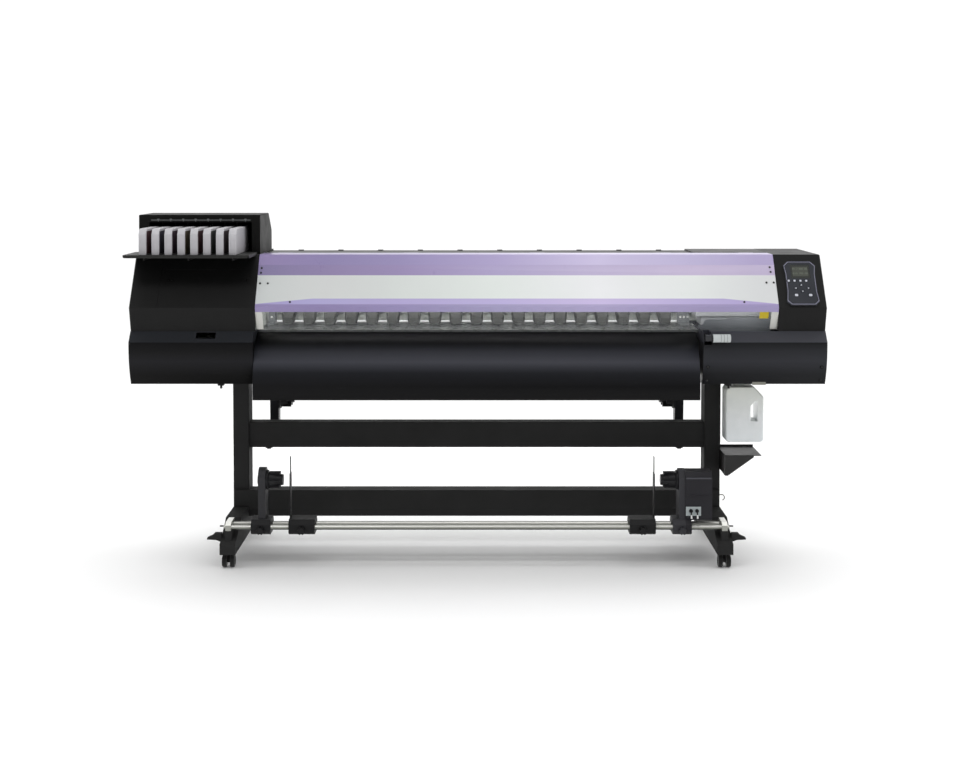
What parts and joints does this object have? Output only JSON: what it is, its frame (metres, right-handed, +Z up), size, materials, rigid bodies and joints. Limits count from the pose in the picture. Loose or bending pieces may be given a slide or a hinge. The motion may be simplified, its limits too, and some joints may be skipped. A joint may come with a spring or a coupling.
{
  "type": "wide-format roll printer",
  "caption": "Wide roll-to-roll inkjet printer on a wheeled stand, with ink station, hinged lid, control panel, front take-up unit and waste tank.",
  "frame": {"origin": "on the floor, under the centre of the bounding box", "axes": "+X to the operator's right along the media width, +Y away from the operator, +Z up"},
  "size_m": [2.775, 0.7, 1.392],
  "materials": {
    "stand_paint": "satin black powder coat",
    "cover_plastic": "fine-textured black moulding",
    "lower_cover": "fine-textured charcoal moulding",
    "heater_paint": "satin bluish charcoal coat",
    "frame_steel": "zinc-plated",
    "drive_steel": "ground steel",
    "platen_metal": "grey anodised",
    "lid_panel": "white with purple bands",
    "lid_clear": "clear smoked",
    "ink_box_plastic": "textured black",
    "shelf_plastic": "textured black",
    "cartridge_plastic": "pale grey, slightly translucent",
    "panel_bezel": "glossy black with pale edge",
    "lcd": "dark display glass",
    "tray_plastic": "grey",
    "carriage_plastic": "pale grey",
    "arm_plastic": "dark grey",
    "roller_rubber": "pale grey rubber",
    "grit_steel": "grit surface",
    "lever_grip": "pale grey ribbed",
    "screw_steel": "blackened",
    "inlet_plastic": "black",
    "polished_bar": "polished",
    "takeup_plastic": "charcoal moulding",
    "cone_plastic": "black moulding",
    "switch_lever": "white",
    "guide_steel": "black",
    "caster_plastic": "black nylon",
    "caster_tyre": "black tread",
    "tank_plastic": "milky translucent polyethylene",
    "bracket_paint": "satin dark coat"
  },
  "bodies": {
    "printer": {"left_stand": "stand_paint", "right_stand": "stand_paint", "upper_beam": "stand_paint", "lower_beam": "stand_paint", "rear_rail": "stand_paint", "chassis": "frame_steel", "carriage_drive": "drive_steel", "platen": "platen_metal", "after_heater": "heater_paint", "rear_guide": "heater_paint", "top_cover": "heater_paint", "left_station_cover": "cover_plastic", "left_lower_cover": "lower_cover", "right_station_cover": "cover_plastic", "right_lower_cover": "lower_cover", "ink_box": "ink_box_plastic", "ink_shelf": "shelf_plastic", "control_panel": "panel_bezel", "lcd_screen": "lcd", "capping_unit": "tray_plastic", "takeup_bars": "polished_bar", "tank_bracket": "bracket_paint", "cover_screws": "screw_steel", "power_inlet": "inlet_plastic"},
    "lid": {"front_lid": "lid_panel", "lid_window": "lid_clear"},
    "carriage": {"carriage": "carriage_plastic"},
    "clamp_lever": {"clamp_lever": "lever_grip"},
    "pinch_arms": {"pinch_arms": "arm_plastic"},
    "pinch_rollers": {"pinch_rollers": "roller_rubber"},
    "feed_roller": {"feed_roller": "grit_steel"},
    "ink_cartridge_1": {"ink_cartridge_1": "cartridge_plastic"},
    "ink_cartridge_2": {"ink_cartridge_2": "cartridge_plastic"},
    "ink_cartridge_3": {"ink_cartridge_3": "cartridge_plastic"},
    "ink_cartridge_4": {"ink_cartridge_4": "cartridge_plastic"},
    "ink_cartridge_5": {"ink_cartridge_5": "cartridge_plastic"},
    "ink_cartridge_6": {"ink_cartridge_6": "cartridge_plastic"},
    "ink_cartridge_7": {"ink_cartridge_7": "cartridge_plastic"},
    "ink_cartridge_8": {"ink_cartridge_8": "cartridge_plastic"},
    "caster_fork_front_left": {"caster_fork_front_left": "caster_plastic"},
    "caster_wheels_front_left": {"caster_wheels_front_left": "caster_tyre"},
    "caster_fork_front_right": {"caster_fork_front_right": "caster_plastic"},
    "caster_wheels_front_right": {"caster_wheels_front_right": "caster_tyre"},
    "caster_fork_rear_left": {"caster_fork_rear_left": "caster_plastic"},
    "caster_wheels_rear_left": {"caster_wheels_rear_left": "caster_tyre"},
    "caster_fork_rear_right": {"caster_fork_rear_right": "caster_plastic"},
    "caster_wheels_rear_right": {"caster_wheels_rear_right": "caster_tyre"},
    "takeup_arm": {"takeup_arm": "takeup_plastic"},
    "takeup_arm_cone": {"takeup_arm_cone": "cone_plastic"},
    "takeup_drive": {"takeup_drive": "takeup_plastic"},
    "takeup_drive_cone": {"takeup_drive_cone": "cone_plastic"},
    "feed_switch": {"feed_switch": "switch_lever"},
    "direction_switch": {"direction_switch": "switch_lever"},
    "left_media_guide": {"left_media_guide": "guide_steel"},
    "right_media_guide": {"right_media_guide": "guide_steel"},
    "left_roll_holder": {"left_roll_holder": "takeup_plastic"},
    "left_roll_cone": {"left_roll_cone": "cone_plastic"},
    "right_roll_holder": {"right_roll_holder": "takeup_plastic"},
    "right_roll_cone": {"right_roll_cone": "cone_plastic"},
    "waste_tank": {"waste_tank": "tank_plastic"}
  },
  "joints": [
    {"name": "lid_hinge", "type": "hinge", "parent": "printer", "child": "lid", "pos_m": [0.16, -0.04, 1.226], "axis": [-1, 0, 0], "range_deg": [0, 70]},
    {"name": "carriage_slide", "type": "slide", "parent": "printer", "child": "carriage", "axis": [1, 0, 0], "range_m": [-1.75, 0]},
    {"name": "clamp_lever_hinge", "type": "hinge", "parent": "printer", "child": "clamp_lever", "pos_m": [0.916, -0.24, 0.905], "axis": [-1, 0, 0], "range_deg": [0, 30]},
    {"name": "pinch_lift", "type": "hinge", "parent": "printer", "child": "pinch_arms", "pos_m": [0, 0.112, 0.985], "axis": [-1, 0, 0], "range_deg": [0, 8]},
    {"name": "feed_roller_spin", "type": "hinge", "parent": "printer", "child": "feed_roller", "pos_m": [0, 0.02, 0.9195], "axis": [1, 0, 0], "continuous": true},
    {"name": "pinch_rollers_spin", "type": "hinge", "parent": "pinch_arms", "child": "pinch_rollers", "pos_m": [0, 0.02, 0.9368], "axis": [1, 0, 0], "continuous": true},
    {"name": "caster_swivel_front_left", "type": "hinge", "parent": "printer", "child": "caster_fork_front_left", "pos_m": [-0.983, -0.301, 0.056], "axis": [0, 0, 1], "continuous": true},
    {"name": "caster_spin_front_left", "type": "hinge", "parent": "caster_fork_front_left", "child": "caster_wheels_front_left", "pos_m": [-0.983, -0.315, 0.025], "axis": [1, 0, 0], "continuous": true},
    {"name": "caster_swivel_front_right", "type": "hinge", "parent": "printer", "child": "caster_fork_front_right", "pos_m": [0.983, -0.301, 0.056], "axis": [0, 0, 1], "continuous": true},
    {"name": "caster_spin_front_right", "type": "hinge", "parent": "caster_fork_front_right", "child": "caster_wheels_front_right", "pos_m": [0.983, -0.315, 0.025], "axis": [1, 0, 0], "continuous": true},
    {"name": "caster_swivel_rear_left", "type": "hinge", "parent": "printer", "child": "caster_fork_rear_left", "pos_m": [-0.983, 0.301, 0.056], "axis": [0, 0, 1], "continuous": true},
    {"name": "caster_spin_rear_left", "type": "hinge", "parent": "caster_fork_rear_left", "child": "caster_wheels_rear_left", "pos_m": [-0.983, 0.315, 0.025], "axis": [1, 0, 0], "continuous": true},
    {"name": "caster_swivel_rear_right", "type": "hinge", "parent": "printer", "child": "caster_fork_rear_right", "pos_m": [0.983, 0.301, 0.056], "axis": [0, 0, 1], "continuous": true},
    {"name": "caster_spin_rear_right", "type": "hinge", "parent": "caster_fork_rear_right", "child": "caster_wheels_rear_right", "pos_m": [0.983, 0.315, 0.025], "axis": [1, 0, 0], "continuous": true},
    {"name": "takeup_arm_slide", "type": "slide", "parent": "printer", "child": "takeup_arm", "axis": [1, 0, 0], "range_m": [-0.05, 0.02]},
    {"name": "takeup_arm_cone_spin", "type": "hinge", "parent": "takeup_arm", "child": "takeup_arm_cone", "pos_m": [-0.838, -0.27, 0.339], "axis": [1, 0, 0], "continuous": true},
    {"name": "takeup_drive_slide", "type": "slide", "parent": "printer", "child": "takeup_drive", "axis": [-1, 0, 0], "range_m": [-0.02, 0.02]},
    {"name": "takeup_drive_cone_spin", "type": "hinge", "parent": "takeup_drive", "child": "takeup_drive_cone", "pos_m": [0.803, -0.27, 0.339], "axis": [1, 0, 0], "continuous": true},
    {"name": "feed_switch_hinge", "type": "hinge", "parent": "takeup_drive", "child": "feed_switch", "pos_m": [0.849, -0.3325, 0.226], "axis": [-1, 0, 0], "range_deg": [0, 60]},
    {"name": "direction_switch_hinge", "type": "hinge", "parent": "takeup_drive", "child": "direction_switch", "pos_m": [0.873, -0.3325, 0.226], "axis": [-1, 0, 0], "range_deg": [0, 60]},
    {"name": "left_guide_slide", "type": "slide", "parent": "printer", "child": "left_media_guide", "axis": [1, 0, 0], "range_m": [0, 0.6]},
    {"name": "right_guide_slide", "type": "slide", "parent": "printer", "child": "right_media_guide", "axis": [-1, 0, 0], "range_m": [0, 0.58]},
    {"name": "left_roll_holder_slide", "type": "slide", "parent": "printer", "child": "left_roll_holder", "axis": [1, 0, 0], "range_m": [0, 0.6]},
    {"name": "left_roll_cone_spin", "type": "hinge", "parent": "left_roll_holder", "child": "left_roll_cone", "pos_m": [-0.86, 0.28, 0.595], "axis": [1, 0, 0], "continuous": true},
    {"name": "right_roll_holder_slide", "type": "slide", "parent": "printer", "child": "right_roll_holder", "axis": [-1, 0, 0], "range_m": [0, 0.6]},
    {"name": "right_roll_cone_spin", "type": "hinge", "parent": "right_roll_holder", "child": "right_roll_cone", "pos_m": [0.86, 0.28, 0.595], "axis": [1, 0, 0], "continuous": true},
    {"name": "waste_tank_slide", "type": "slide", "parent": "printer", "child": "waste_tank", "axis": [0, -1, 0], "range_m": [0, 0.25]},
    {"name": "cartridge_slide_1", "type": "slide", "parent": "printer", "child": "ink_cartridge_1", "axis": [0, -1, 0], "range_m": [0, 0.3]},
    {"name": "cartridge_slide_2", "type": "slide", "parent": "printer", "child": "ink_cartridge_2", "axis": [0, -1, 0], "range_m": [0, 0.3]},
    {"name": "cartridge_slide_3", "type": "slide", "parent": "printer", "child": "ink_cartridge_3", "axis": [0, -1, 0], "range_m": [0, 0.3]},
    {"name": "cartridge_slide_4", "type": "slide", "parent": "printer", "child": "ink_cartridge_4", "axis": [0, -1, 0], "range_m": [0, 0.3]},
    {"name": "cartridge_slide_5", "type": "slide", "parent": "printer", "child": "ink_cartridge_5", "axis": [0, -1, 0], "range_m": [0, 0.3]},
    {"name": "cartridge_slide_6", "type": "slide", "parent": "printer", "child": "ink_cartridge_6", "axis": [0, -1, 0], "range_m": [0, 0.3]},
    {"name": "cartridge_slide_7", "type": "slide", "parent": "printer", "child": "ink_cartridge_7", "axis": [0, -1, 0], "range_m": [0, 0.3]},
    {"name": "cartridge_slide_8", "type": "slide", "parent": "printer", "child": "ink_cartridge_8", "axis": [0, -1, 0], "range_m": [0, 0.3]}
  ],
  "couplings": [
    {"joint": "pinch_lift", "follows": "clamp_lever_hinge", "ratio": 0.26}
  ]
}
